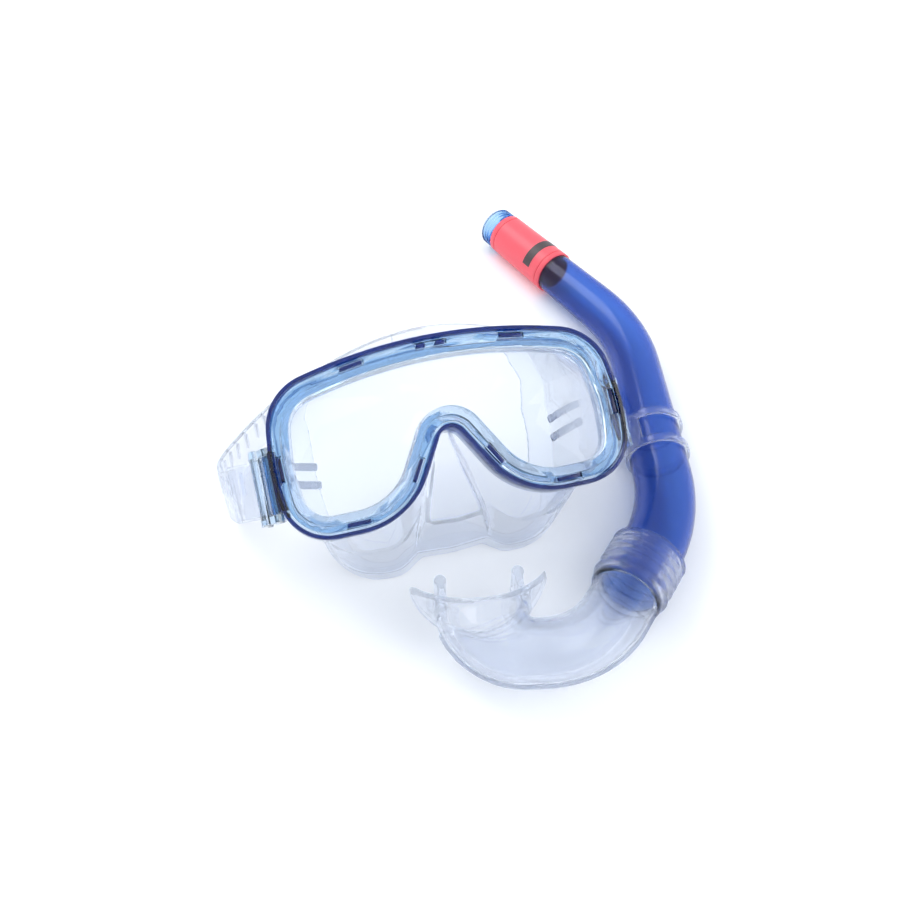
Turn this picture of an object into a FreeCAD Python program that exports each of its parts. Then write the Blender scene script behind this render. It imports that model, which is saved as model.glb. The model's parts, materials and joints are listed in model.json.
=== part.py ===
import FreeCAD, Part
import math
import os

# Diving mask and snorkel, in millimetres. Z is up and the floor is z = 0.
# The mask lies back on its skirt and on its strap loop, with the snorkel beside it.
# Mask pieces are drawn in the mask's own axes: x across the face, y up the face,
# z out of the lens, with z = 0 on the front of the retaining ring.
# Snorkel pieces are drawn in the barrel's own axes: x from the top end along the straight
# run, y across it, z up.

Vector = FreeCAD.Vector
Placement = FreeCAD.Placement
Rotation = FreeCAD.Rotation

doc = FreeCAD.newDocument("SnorkelMask")
sheet = doc.addObject("Spreadsheet::Sheet", "Dims")

DIMENSIONS = [
    # where the mask lies
    ("mask_yaw", 15.0), ("mask_tilt", 30.0),
    ("mask_east", -0.2), ("mask_north", -38.8), ("mask_high", 65.0),
    # outline of the frame, right half, as the corners of a rounded polygon
    ("brow_up", 43.5), ("brow_round", 205.0),
    ("temple_across", 66.9), ("temple_up", 26.8), ("temple_round", 22.0),
    ("side_across", 70.5), ("side_up", -3.5), ("side_round", 60.0),
    ("cheek_across", 67.2), ("cheek_up", -33.2), ("cheek_round", 19.0),
    ("foot_across", 21.6), ("foot_round", 33.0),
    ("bridge_up", 4.6), ("bridge_round", 5.0),
    # main frame
    ("frame_wall", 1.5), ("frame_front", -1.0), ("frame_back", -13.5),
    ("flange_thick", 2.0), ("flange_inset", 7.6),
    ("groove_inner", 1.8), ("groove_outer", 3.0), ("groove_floor", 0.7),
    ("tab_long", 8.8), ("tab_thick", 1.3), ("tab_inset", 4.0), ("tab_front", -0.4), ("short_tab_long", 3.4),
    ("brow_tab_turn", 9.2), ("brow_pair_turn", 1.1), ("foot_tab_across", 41.5), ("nose_tab_at", 19.5),
    # retaining ring
    ("ring_outer_inset", 2.5), ("ring_inner_inset", 8.4), ("ring_depth", 4.0),
    ("window_long", 10.2), ("window_wide", 2.3),
    # lens
    ("lens_inset", 5.4), ("lens_front", -4.1), ("lens_thick", 2.6),
    # skirt
    ("bead_outer_inset", 5.4), ("bead_front", -6.8), ("bead_back", -11.4),
    ("neck_inset", 7.9), ("skirt_wall", 1.6), ("skirt_middle", -28.0), ("rim_back", -45.0),
    ("rim_lip", 8.0), ("rim_thick", 1.5), ("middle_lean", -2.0), ("rim_lean", -3.6),
    # hinge lugs, buckles and rollers
    ("hinge_across", 70.0), ("hinge_back", -21.0), ("hinge_mid_up", -6.0),
    ("knuckle_round", 3.0), ("knuckle_long", 23.4), ("lug_web_thick", 4.0), ("lug_web_in", 1.6),
    ("pin_round", 1.25), ("pin_gap", 0.05), ("pin_proud", 0.6),
    ("arm_thick", 2.8), ("arm_gap", 0.3), ("arm_round", 3.4),
    ("roller_across", 75.0), ("roller_back", -29.0), ("roller_round", 2.5),
    ("bar_across", 75.8), ("bar_back", -21.4), ("bar_round", 1.4),
    # strap
    ("strap_wide", 22.0), ("strap_thick", 1.8), ("strap_gap", 0.35), ("tail_long", 12.0),
    # barrel
    ("barrel_east", 24.8), ("barrel_north", 149.6), ("barrel_high", 10.45),
    ("barrel_heading", -53.4), ("barrel_tilt", 1.3),
    ("top_round", 9.6), ("taper", 0.0155), ("tube_wall", 1.5),
    ("top_run", 82.0), ("upper_round", 78.0), ("upper_turn", 33.6), ("middle_run", 66.0),
    ("lower_round", 70.0), ("lower_turn", 35.0), ("end_run", 22.0),
    # tip and band
    ("tip_head", 8.0), ("tip_lip", 0.5), ("tip_wall", 1.2), ("tip_spigot", 17.0),
    ("band_start", 9.0), ("band_long", 41.0), ("band_wall", 0.8), ("fit_gap", 0.05),
    # keeper
    ("keeper_at", 176.0), ("keeper_long", 20.0), ("keeper_gap", 0.4), ("keeper_wall", 1.2),
    ("keeper_ring_wide", 4.5), ("spine_share", 0.55),
    ("loop_at", 0.865), ("loop_long", 12.0), ("loop_room", 1.6), ("loop_wall", 1.3),
    ("bridge_wide", 9.0), ("bridge_thick", 5.0),
    # mouthpiece
    ("collar_long", 21.5), ("collar_round", 14.8), ("elbow_round", 13.4), ("elbow_wall", 1.8),
    ("elbow_run", 12.0), ("elbow_first_round", 35.0), ("elbow_first_turn", 58.0),
    ("elbow_level_run", 2.5), ("elbow_last_round", 18.5), ("elbow_last_turn", 82.0), ("mouth_run", 7.0),
    ("mouth_wide", 38.0), ("mouth_high", 23.0),
    ("flange_round", 33.0), ("flange_wide", 55.0), ("flange_high", 29.4), ("flange_wall", 2.0),
    ("lug_long", 12.0), ("lug_high", 15.0), ("lug_thick", 3.0), ("lug_spread", 31.0),
]
for row, (alias, value) in enumerate(DIMENSIONS, 1):
    sheet.set("A%d" % row, alias)
    sheet.set("B%d" % row, str(value))
    sheet.setAlias("B%d" % row, alias)
doc.recompute()


def dim(alias):
    return float(getattr(sheet, alias))


def bind(obj, prop, expression):
    obj.setExpression(prop, expression)


# ---------------------------------------------------------------- placements

mask_place = Placement(
    Vector(dim("mask_east"), dim("mask_north"), dim("mask_high")),
    Rotation(dim("mask_yaw"), 0, dim("mask_tilt")),
)
barrel_place = Placement(
    Vector(dim("barrel_east"), dim("barrel_north"), dim("barrel_high")),
    Rotation(Vector(1, 0, 0), -dim("barrel_tilt")).multiply(Rotation(Vector(0, 0, 1), dim("barrel_heading"))),
)
pieces = []


def keep(obj, label, place):
    obj.Label = label
    obj.Placement = place
    pieces.append(obj)


def feature(label, shape, place):
    obj = doc.addObject("Part::Feature", label)
    obj.Shape = shape
    keep(obj, label, place)


# ---------------------------------------------------------------- outlines

def mirrored(corners):
    """Corners of the right half, top first, completed with the left half."""
    inner = [corner for corner in corners[1:-1]]
    return corners + [(-x, y, r) for x, y, r in reversed(inner)]


frame_corners = mirrored([
    (0, dim("brow_up"), dim("brow_round")),
    (dim("temple_across"), dim("temple_up"), dim("temple_round")),
    (dim("side_across"), dim("side_up"), dim("side_round")),
    (dim("cheek_across"), dim("cheek_up"), dim("cheek_round")),
    (dim("foot_across"), dim("cheek_up"), dim("foot_round")),
    (0, dim("bridge_up"), dim("bridge_round")),
])


def outline_geometry(corners, inset, z=0.0):
    """Arcs and lines of a rounded polygon, moved inwards by inset."""
    points = [Vector(x, y, z) for x, y, _ in corners]
    joins = []
    for index, corner in enumerate(corners):
        here = points[index]
        back = (points[index - 1] - here).normalize()
        ahead = (points[(index + 1) % len(points)] - here).normalize()
        half_angle = back.getAngle(ahead) / 2
        middle = (back + ahead).normalize()
        center = here + middle * (corner[2] / math.sin(half_angle))
        reach = corner[2] / math.tan(half_angle)
        convex = back.cross(ahead).z > 0
        radius = corner[2] - inset if convex else corner[2] + inset
        start = center + (here + back * reach - center).normalize() * radius
        end = center + (here + ahead * reach - center).normalize() * radius
        joins.append((start, center - middle * radius, end))
    geometry = []
    for index, (start, middle, end) in enumerate(joins):
        following = joins[(index + 1) % len(joins)][0]
        geometry.append(Part.Arc(start, middle, end))
        geometry.append(Part.LineSegment(end, following))
    return geometry


def outline_wire(corners, inset, z):
    return Part.Wire([curve.toShape() for curve in outline_geometry(corners, inset, z)])


# ---------------------------------------------------------------- bodies

def new_body(name):
    return doc.addObject("PartDesign::Body", name)


def new_sketch(body, name, height="0", plane="XY_Plane"):
    sketch = body.newObject("Sketcher::SketchObject", name)
    support = [item for item in body.Origin.OriginFeatures if item.Role == plane][0]
    sketch.AttachmentSupport = (support, [""])
    sketch.MapMode = "FlatFace"
    bind(sketch, "AttachmentOffset.Base.z", height)
    return sketch


def add_circle(sketch, across, up, radius):
    sketch.addGeometry(Part.Circle(Vector(across, up, 0), Vector(0, 0, 1), radius))


def add_slot(sketch, first, last, radius):
    """Two half circles about first and last, joined by straight sides."""
    along = (last - first).normalize()
    side = Vector(-along.y, along.x, 0) * radius
    sketch.addGeometry(Part.LineSegment(first + side, last + side))
    sketch.addGeometry(Part.Arc(last + side, last + along * radius, last - side))
    sketch.addGeometry(Part.LineSegment(last - side, first - side))
    sketch.addGeometry(Part.Arc(first - side, first - along * radius, first + side))


def add_turned_box(sketch, center, angle, long, wide):
    """A rectangle of size long by wide about center, turned by angle in degrees."""
    turn = Rotation(Vector(0, 0, 1), angle)
    signs = [(1, 1), (-1, 1), (-1, -1), (1, -1)]
    corners = [center + turn.multVec(Vector(a * long / 2, b * wide / 2, 0)) for a, b in signs]
    for index, corner in enumerate(corners):
        sketch.addGeometry(Part.LineSegment(corner, corners[(index + 1) % 4]))


def pad(body, sketch, length):
    extrusion = body.newObject("PartDesign::Pad", sketch.Name + "Pad")
    extrusion.Profile = sketch
    bind(extrusion, "Length", length)
    doc.recompute()
    return extrusion


def pocket(body, sketch, length, midplane=False):
    before = body.Shape.Volume
    cut = body.newObject("PartDesign::Pocket", sketch.Name + "Pocket")
    cut.Profile = sketch
    cut.Midplane = midplane
    bind(cut, "Length", length)
    doc.recompute()
    if body.Shape.Volume > before - 0.01:
        cut.Reversed = True
        doc.recompute()
    if body.Shape.Volume > before - 0.01:
        raise RuntimeError(sketch.Name + " cuts nothing")
    return cut


# ---------------------------------------------------------------- clip places

side_sag = 0.4        # how far the rounded temple falls short of its corner


def clip_places():
    """Centres and angles of the snap tabs, on a line inset from the frame's outline."""
    inset = dim("tab_inset")
    places = []
    brow_center = dim("brow_up") - dim("brow_round") / math.cos(math.atan2(
        dim("brow_up") - dim("temple_up"), dim("temple_across")))
    radius = dim("brow_round") - inset
    pair, outer = dim("brow_pair_turn"), dim("brow_tab_turn")
    for angle in (outer, pair, -pair, -outer):
        turn = math.radians(angle)
        places.append((Vector(radius * math.sin(turn), brow_center + radius * math.cos(turn), 0), -angle))
    side = dim("side_across") - side_sag - inset
    foot_up = dim("cheek_up") + inset
    foot = Vector(dim("foot_across"), dim("cheek_up"), 0)
    bridge = Vector(0, dim("bridge_up"), 0)
    nose_line = (bridge - foot).normalize()
    nose = foot + nose_line * dim("nose_tab_at") + Vector(nose_line.y, -nose_line.x, 0) * inset
    slope = math.degrees(math.atan2(nose_line.y, nose_line.x))
    for sign in (1, -1):
        places.append((Vector(sign * side, dim("side_up"), 0), 90))
        places.append((Vector(sign * dim("foot_tab_across"), foot_up, 0), 0))
        places.append((Vector(sign * nose.x, nose.y, 0), sign * slope))
    return places


def in_middle_pair(center):
    return center.y > 0 and abs(center.x) < dim("tab_long")


def tab_length(center):
    """The two tabs at the middle of the brow are short, so that they fit side by side."""
    return dim("short_tab_long") if in_middle_pair(center) else dim("tab_long")


# ---------------------------------------------------------------- main frame

def make_main_frame():
    body = new_body("MainFrame")
    wall = new_sketch(body, "FrameWall", "Dims.frame_back")
    wall.addGeometry(outline_geometry(frame_corners, 0))
    wall.addGeometry(outline_geometry(frame_corners, dim("frame_wall")))
    pad(body, wall, "Dims.frame_front - Dims.frame_back")
    flange = new_sketch(body, "FrameFlange", "Dims.frame_back")
    flange.addGeometry(outline_geometry(frame_corners, dim("frame_wall") / 2))
    flange.addGeometry(outline_geometry(frame_corners, dim("flange_inset")))
    pad(body, flange, "Dims.flange_thick")
    groove = new_sketch(body, "FlangeGroove", "Dims.frame_back + Dims.flange_thick")
    groove.addGeometry(outline_geometry(frame_corners, dim("groove_inner")))
    groove.addGeometry(outline_geometry(frame_corners, dim("groove_outer")))
    pocket(body, groove, "Dims.flange_thick - Dims.groove_floor")
    for index, (center, angle) in enumerate(clip_places()):
        tab = new_sketch(body, "SnapTab%d" % index, "Dims.frame_back + 1")
        add_turned_box(tab, center, angle, tab_length(center), dim("tab_thick"))
        pad(body, tab, "Dims.tab_front - Dims.frame_back - 1")
    for side, sign in (("Right", 1), ("Left", -1)):
        web = new_sketch(body, "HingeWeb" + side, "Dims.hinge_back")
        middle = Vector(sign * (dim("hinge_across") - dim("lug_web_in")), dim("hinge_mid_up"), 0)
        add_turned_box(web, middle, 90, dim("knuckle_long"), dim("lug_web_thick"))
        pad(body, web, "Dims.frame_back - Dims.hinge_back + 1")
        # the XZ plane's sketch normal points along -y
        knuckle_start = "-(Dims.hinge_mid_up + Dims.knuckle_long / 2)"
        knuckle = new_sketch(body, "Knuckle" + side, knuckle_start, "XZ_Plane")
        add_circle(knuckle, sign * dim("hinge_across"), dim("hinge_back"), dim("knuckle_round"))
        pad(body, knuckle, "Dims.knuckle_long")
        bore = new_sketch(body, "KnuckleBore" + side, "-Dims.hinge_mid_up", "XZ_Plane")
        add_circle(bore, sign * dim("hinge_across"), dim("hinge_back"), dim("pin_round"))
        pocket(body, bore, "2 * Dims.knuckle_long", midplane=True)
    keep(body, "main_frame", mask_place)


# ---------------------------------------------------------------- ring and lens

def make_retaining_ring():
    body = new_body("RetainingRing")
    face = new_sketch(body, "RingFace", "-Dims.ring_depth")
    face.addGeometry(outline_geometry(frame_corners, dim("ring_outer_inset")))
    face.addGeometry(outline_geometry(frame_corners, dim("ring_inner_inset")))
    pad(body, face, "Dims.ring_depth")
    margin = dim("window_long") - dim("tab_long")
    for index, (center, angle) in enumerate(clip_places()):
        long = tab_length(center) + margin
        if in_middle_pair(center):
            # one window holds both of the short tabs
            if center.x > 0:
                continue
            long += 2 * abs(center.x)
            center = Vector(0, center.y, 0)
            angle = 0
        window = new_sketch(body, "Window%d" % index, "0")
        add_turned_box(window, center, angle, long, dim("window_wide"))
        pocket(body, window, "Dims.ring_depth + 1")
    keep(body, "retaining_ring", mask_place)


def make_lens():
    body = new_body("Lens")
    plate = new_sketch(body, "LensPlate", "Dims.lens_front - Dims.lens_thick")
    plate.addGeometry(outline_geometry(frame_corners, dim("lens_inset")))
    pad(body, plate, "Dims.lens_thick")
    keep(body, "lens", mask_place)


# ---------------------------------------------------------------- skirt

def leaning(corners, shift):
    """The soft skirt leans a little to one side under the mask's weight."""
    return [(x + shift, y, r) for x, y, r in corners]


middle_corners = leaning(mirrored([
    (0, 45.5, 90.0), (57.5, 33.0, 26.0), (59.0, 0.0, 90.0), (55.0, -40.0, 22.0),
    (24.0, -41.5, 14.0), (0, -16.0, 10.0),
]), dim("middle_lean"))
rim_corners = leaning(mirrored([
    (0, 49.0, 58.0), (49.0, 40.0, 30.0), (53.5, 0.0, 90.0), (50.0, -52.0, 24.0),
    (22.0, -52.0, 12.0), (0, -38.5, 14.0),
]), dim("rim_lean"))
nose_sections = [
    # depth, half width and height at the top, half width and height at the tip
    (-14.5, 3.6, -1.0, 5.0, -8.0),
    (-22.0, 5.5, 8.0, 13.0, -34.5),
    (-44.9, 12.0, 0.0, 19.0, -46.0),
]


def nose_wire(section, inset):
    depth, top_half, top_up, tip_half, tip_up = section
    lean = dim("rim_lean") * depth / dim("rim_back")
    corners = leaning(mirrored([
        (0, top_up + 1.0, 2.5 + top_half), (top_half, top_up, 2.2),
        (tip_half, tip_up, 3.0), (0, tip_up - 1.2, tip_half),
    ]), lean)
    return outline_wire(corners, inset, depth)


def skirt_solid(inset):
    """The closed outer form of the skirt, or its hollow when inset is the wall."""
    front = dim("bead_back") + 0.5 if inset == 0 else dim("bead_front") + 1
    sections = [
        outline_wire(frame_corners, dim("neck_inset") + inset, dim("frame_back") - 0.3),
        outline_wire(middle_corners, inset, dim("skirt_middle")),
        outline_wire(rim_corners, inset, dim("rim_back")),
    ]
    shell = Part.makeLoft(sections, True, True)
    neck = Part.Face(outline_wire(frame_corners, dim("neck_inset") + inset, dim("frame_back") - 0.3))
    neck = neck.extrude(Vector(0, 0, front - dim("frame_back") + 0.3))
    return shell.fuse(neck)


def make_skirt():
    wall = dim("skirt_wall")
    outer = skirt_solid(0)
    nose_outer = Part.makeLoft([nose_wire(item, 0) for item in nose_sections], True, True)
    bead = Part.Face(outline_wire(frame_corners, dim("bead_outer_inset"), dim("bead_back")))
    bead = bead.extrude(Vector(0, 0, dim("bead_front") - dim("bead_back")))
    body = outer.fuse([nose_outer, bead])
    hollow = skirt_solid(wall)
    lip = Part.Face(outline_wire(rim_corners, dim("rim_lip"), dim("rim_back") - 1))
    mouth = lip.extrude(Vector(0, 0, dim("rim_thick") + 2))
    above_rim = Part.makeBox(200, 200, 60, Vector(-100, -100, dim("rim_back") + dim("rim_thick")))
    hollow = hollow.common(above_rim)
    nose_hollow = Part.makeLoft([nose_wire(item, wall) for item in nose_sections], True, True)
    nose_hollow = nose_hollow.common(above_rim)
    below_tip = Part.makeBox(60, 80, 60, Vector(-30, -60, -60 - 14.5 - wall))
    nose_hollow = nose_hollow.common(below_tip)
    shape = body.cut([hollow, nose_hollow, mouth]).removeSplitter()
    feature("face_skirt", shape, mask_place)


# ---------------------------------------------------------------- buckles

def make_buckle(side, sign):
    hinge = Vector(sign * dim("hinge_across"), dim("hinge_back"), 0)
    roller = Vector(sign * dim("roller_across"), dim("roller_back"), 0)
    bar = Vector(sign * dim("bar_across"), dim("bar_back"), 0)
    body = new_body("Buckle" + side)
    inner = "(Dims.knuckle_long / 2 + Dims.arm_gap)"
    for end, start in (("Upper", "-(Dims.hinge_mid_up + %s + Dims.arm_thick)" % inner),
                       ("Lower", "-(Dims.hinge_mid_up - %s)" % inner)):
        arm = new_sketch(body, end + "Arm" + side, start, "XZ_Plane")
        add_slot(arm, hinge, roller, dim("arm_round"))
        pad(body, arm, "Dims.arm_thick")
        if end == "Upper":
            cross = new_sketch(body, "Bar" + side, start, "XZ_Plane")
            add_slot(cross, bar, bar + (roller - hinge) * 0.12, dim("bar_round"))
            pad(body, cross, "2 * (%s + Dims.arm_thick)" % inner)
    for name, center in (("HingeHole", hinge), ("RollerHole", roller)):
        hole = new_sketch(body, name + side, "-Dims.hinge_mid_up", "XZ_Plane")
        add_circle(hole, center.x, center.y, dim("pin_round") + dim("pin_gap"))
        pocket(body, hole, "3 * Dims.knuckle_long", midplane=True)
    keep(body, "buckle_" + side.lower(), mask_place)


def make_pin(label, across, back):
    """A pin along the mask's y, centred on the buckle, through both of its arms."""
    body = new_body(label.title().replace("_", ""))
    reach = "(Dims.knuckle_long / 2 + Dims.arm_gap + Dims.arm_thick + Dims.pin_proud)"
    end = new_sketch(body, label + "_end", "-(Dims.hinge_mid_up + %s)" % reach, "XZ_Plane")
    add_circle(end, across, back, dim("pin_round"))
    pad(body, end, "2 * " + reach)
    keep(body, label, mask_place)


def make_roller(side, sign):
    body = new_body("Roller" + side)
    end = new_sketch(body, "RollerEnd" + side, "-(Dims.hinge_mid_up + Dims.knuckle_long / 2)", "XZ_Plane")
    add_circle(end, sign * dim("roller_across"), dim("roller_back"), dim("roller_round"))
    add_circle(end, sign * dim("roller_across"), dim("roller_back"), dim("pin_round") + dim("pin_gap"))
    pad(body, end, "Dims.knuckle_long")
    keep(body, "strap_roller_" + side.lower(), mask_place)


# ---------------------------------------------------------------- strap

def roller_turn(sign, start, turn, tail):
    """Centres of the strap round one roller: the loose tail first, then the half turn."""
    reach = dim("roller_round") + dim("strap_gap") + dim("strap_thick") / 2
    center = Vector(sign * dim("roller_across"), dim("hinge_mid_up"), dim("roller_back"))
    spots = []
    for step in range(7):
        angle = math.radians(start + turn * step / 6)
        spots.append(center + Vector(math.cos(angle), 0, math.sin(angle)) * reach)
    return [spots[0] + tail, spots[0] + tail * 0.5] + spots


def strap_route():
    """Centres and width directions of the strap, from the left tail round to the right one."""
    up = mask_place.Rotation.multVec(Vector(0, 1, 0))
    upright = Vector(0, 0, 1)
    long = dim("tail_long")
    left = [mask_place.multVec(spot) for spot in roller_turn(-1, 90, -180, Vector(-long, 0, 1.2))]
    right = [mask_place.multVec(spot) for spot in roller_turn(1, 180, -180, Vector(-0.8, 0, -long))]
    right.reverse()
    stand = dim("strap_wide") / 2 + 0.2
    route = [(spot, up) for spot in left]
    route += [
        (left[-1] + mask_place.Rotation.multVec(Vector(-9, 0, -0.3)), up),
        (Vector(-91, -45, 26), up * 0.6 + upright * 0.5),
        (Vector(-96.5, -33, 18), up * 0.3 + upright * 0.8),
        (Vector(-95.5, -18, 13), upright),
    ]
    floor = [(-87.5, -1), (-76, 15), (-58, 33), (-36, 49), (-10, 59), (17, 59), (40, 51), (57, 38)]
    route += [(Vector(x, y, stand), upright) for x, y in floor]
    route += [
        (Vector(67, 23.5, 13.6), up * 0.1 + upright * 0.9),
        (Vector(71.3, 8, 19.0), up * 0.3 + upright * 0.7),
        (right[0] + mask_place.Rotation.multVec(Vector(-0.4, 0, -8)), up * 0.8 + upright * 0.2),
    ]
    return route + [(spot, up) for spot in right]


def strap_curve(route):
    curve = Part.BSplineCurve()
    curve.interpolate([center for center, _ in route])
    return curve, [curve.parameter(center) for center, _ in route]


def strap_frame(route, curve, knots, u):
    """Position, direction of travel and width direction of the strap at a parameter."""
    span = max(index for index in range(len(knots) - 1) if knots[index] <= u + 1e-9)
    blend = (u - knots[span]) / (knots[span + 1] - knots[span])
    across = route[span][1] * (1 - blend) + route[span + 1][1] * blend
    ahead = Vector(curve.tangent(u)[0]).normalize()
    across = (across - ahead * across.dot(ahead)).normalize()
    return curve.value(u), ahead, across


def make_strap():
    route = strap_route()
    curve, knots = strap_curve(route)
    sections = []
    half_wide = dim("strap_wide") / 2
    half_thick = dim("strap_thick") / 2
    for first, last in zip(knots, knots[1:]):
        steps = 1 if curve.length(first, last) < 6 else 3
        for step in range(steps):
            place, ahead, across = strap_frame(route, curve, knots, first + (last - first) * step / steps)
            sections.append((place, ahead, across))
    sections.append(strap_frame(route, curve, knots, knots[-1]))
    wires = []
    for place, ahead, across in sections:
        out = ahead.cross(across)
        corners = [place + across * (a * half_wide) + out * (b * half_thick)
                   for a, b in ((1, 1), (-1, 1), (-1, -1), (1, -1))]
        wires.append(Part.makePolygon(corners + corners[:1]))
    print("strap length %.0f mm" % curve.length())
    feature("strap", Part.makeLoft(wires, True, True), Placement())


# ---------------------------------------------------------------- barrel line

barrel_runs = [
    (dim("top_run"), 0, 0), (0, dim("upper_round"), dim("upper_turn")), (dim("middle_run"), 0, 0),
    (0, dim("lower_round"), dim("lower_turn")), (dim("end_run"), 0, 0),
    (dim("elbow_run"), 0, 0), (0, dim("elbow_first_round"), dim("elbow_first_turn")),
    (dim("elbow_level_run"), 0, 0), (0, dim("elbow_last_round"), dim("elbow_last_turn")),
    (dim("mouth_run"), 0, 0),
]


def run_length(run):
    return run[0] + run[1] * math.radians(run[2])


barrel_end = sum(run_length(run) for run in barrel_runs[:5])
mouth_end = sum(run_length(run) for run in barrel_runs)
mouth_at = mouth_end - dim("mouth_run")


def line_point(along):
    """Position and direction, in the barrel's own axes, at a distance along its centre line."""
    place = Vector(0, 0, 0)
    heading = 0.0
    for run in barrel_runs:
        step = min(along, run_length(run))
        if run[0]:
            place += Vector(math.cos(heading), math.sin(heading), 0) * step
        else:
            turned = step / run[1]
            place += Vector(math.sin(heading) - math.sin(heading - turned),
                            math.cos(heading - turned) - math.cos(heading), 0) * run[1]
            heading -= turned
        along -= step
        if along <= 1e-9:
            break
    ahead = Vector(math.cos(heading), math.sin(heading), 0)
    return place + ahead * max(along, 0), ahead


def stations(first, last):
    """Distances from first to last: the ends of each run, and every few degrees in each bend."""
    stops = [first]
    start = 0.0
    for run in barrel_runs:
        count = max(1, round(run[2] / 7.0))
        for step in range(1, count + 1):
            stop = start + run_length(run) * step / count
            if first + 0.5 < stop < last - 0.5:
                stops.append(stop)
        start += run_length(run)
    return stops + [last]


def round_section(along, half_wide, half_high):
    place, ahead = line_point(along)
    if abs(half_wide - half_high) < 0.01:
        return Part.Wire([Part.Circle(place, ahead, half_wide).toShape()])
    side = Vector(-ahead.y, ahead.x, 0)
    if half_wide < half_high:
        curve = Part.Ellipse(place + Vector(0, 0, half_high), place + side * half_wide, place)
    else:
        curve = Part.Ellipse(place + side * half_wide, place + Vector(0, 0, half_high), place)
    return Part.Wire([curve.toShape()])


def tube_along(first, last, size):
    """A closed solid along the centre line. size gives half width and half height at a distance."""
    wires = []
    for along in stations(first, last):
        half_wide, half_high = size(along)
        wires.append(round_section(along, half_wide, half_high))
    return Part.makeLoft(wires, True, True)


def barrel_round(along):
    return dim("top_round") + dim("taper") * along


def make_barrel():
    start = dim("tip_head")
    outside = tube_along(start, barrel_end, lambda along: (barrel_round(along),) * 2)
    bore = tube_along(start, barrel_end, lambda along: (barrel_round(along) - dim("tube_wall"),) * 2)
    feature("barrel", outside.cut(bore), barrel_place)


# ---------------------------------------------------------------- tip and band

def make_tip():
    body = new_body("BarrelTip")
    profile = new_sketch(body, "TipProfile", "0")
    head = dim("tip_head") - dim("fit_gap")
    end = head + dim("tip_spigot")
    rim = barrel_round(head) + dim("tip_lip")
    spigot = barrel_round(head) - dim("tube_wall") - dim("fit_gap")
    bore = spigot - dim("tip_wall")
    corners = [(0, bore + 0.6), (0.8, rim - 0.6), (2.0, rim), (head, rim), (head, spigot),
               (end, spigot), (end, bore), (1.0, bore)]
    points = [Vector(x, y, 0) for x, y in corners]
    for index, point in enumerate(points):
        profile.addGeometry(Part.LineSegment(point, points[(index + 1) % len(points)]))
    turned = body.newObject("PartDesign::Revolution", "TipTurned")
    turned.Profile = profile
    turned.ReferenceAxis = (profile, ["H_Axis"])
    turned.Angle = 360
    doc.recompute()
    keep(body, "barrel_tip", barrel_place)


def make_band():
    start = dim("band_start")
    end = start + dim("band_long")
    gap = dim("fit_gap")
    wall = dim("band_wall")
    outer = tube_along(start, end, lambda along: (barrel_round(along) + gap + wall,) * 2)
    inner = tube_along(start, end, lambda along: (barrel_round(along) + gap,) * 2)
    feature("visibility_band", outer.cut(inner), barrel_place)


# ---------------------------------------------------------------- keeper

def make_keeper():
    """A soft moulding: two rings round the barrel, a spine between them, and a flat loop round the strap."""
    half = dim("keeper_long") / 2
    first = dim("keeper_at") - half
    last = dim("keeper_at") + half
    inner = barrel_round(last) + dim("keeper_gap")
    outer = inner + dim("keeper_wall")
    ring_wide = dim("keeper_ring_wide")
    sleeve = tube_along(first, last, lambda along: (outer, outer))
    gap_start = first + ring_wide
    gap = tube_along(gap_start, last - ring_wide, lambda along: (outer + 1, outer + 1))
    # the spine is the side of the sleeve towards the mask, so the gap is cut on the other side only
    spine_at, spine_ahead = line_point(dim("keeper_at"))
    spine_side = Vector(-spine_ahead.y, spine_ahead.x, 0)
    reach = 3 * outer
    away = Part.makeBox(2 * reach, 2 * reach, 2 * reach, Vector(-reach, -dim("spine_share") * outer, -reach))
    away.Placement = Placement(spine_at, Rotation(spine_ahead, spine_side, Vector(0, 0, 1), "XYZ"))
    sleeve = sleeve.cut(gap.common(away))
    # the bore runs past the sleeve, so that it clears the bridge too
    bore = tube_along(first - half, last + half, lambda along: (inner, inner))
    for solid in (sleeve, bore):
        solid.Placement = barrel_place
    route = strap_route()
    curve, knots = strap_curve(route)
    u = knots[0] + (knots[-1] - knots[0]) * dim("loop_at")
    place, ahead, across = strap_frame(route, curve, knots, u)
    out = ahead.cross(across)
    room = dim("loop_room")
    wall = dim("loop_wall")
    turned = Placement(place, Rotation(ahead, across, out, "XYZ"))

    def block(long, wide, thick):
        box = Part.makeBox(long, wide, thick, Vector(-long / 2, -wide / 2, -thick / 2))
        box.Placement = turned
        return box

    wide = dim("strap_wide") + 2 * room
    thick = dim("strap_thick") + 2 * room
    loop = block(dim("loop_long"), wide + 2 * wall, thick + 2 * wall)
    slot = block(dim("loop_long") * 2, wide, thick)
    middle, _ = line_point(first + 5)
    side = barrel_place.multVec(middle)
    print("keeper slides along %.4f %.4f %.4f" % tuple(ahead))
    bridge_wide = dim("bridge_wide")
    bridge_thick = dim("bridge_thick")
    bridge = Part.makeBox((place - side).Length, bridge_wide, bridge_thick,
                          Vector(0, -bridge_wide / 2, -bridge_thick / 2))
    bridge_ahead = (place - side).normalize()
    bridge.Placement = Placement(side, Rotation(bridge_ahead, Vector(0, 1, 0), Vector(0, 0, 1), "XZY"))
    shape = sleeve.fuse([bridge, loop]).cut([slot, bore])
    feature("snorkel_keeper", shape, Placement())


# ---------------------------------------------------------------- mouthpiece

def elbow_size(along):
    """Half width and half height of the elbow: round, then widening through the last bend."""
    last = run_length(barrel_runs[-2])
    share = min(1.0, max(0.0, (along - (mouth_at - last)) / last))
    wide = dim("elbow_round") + (dim("mouth_wide") / 2 - dim("elbow_round")) * share
    high = dim("elbow_round") + (dim("mouth_high") / 2 + dim("elbow_wall") - dim("elbow_round")) * share
    return wide, high


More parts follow.
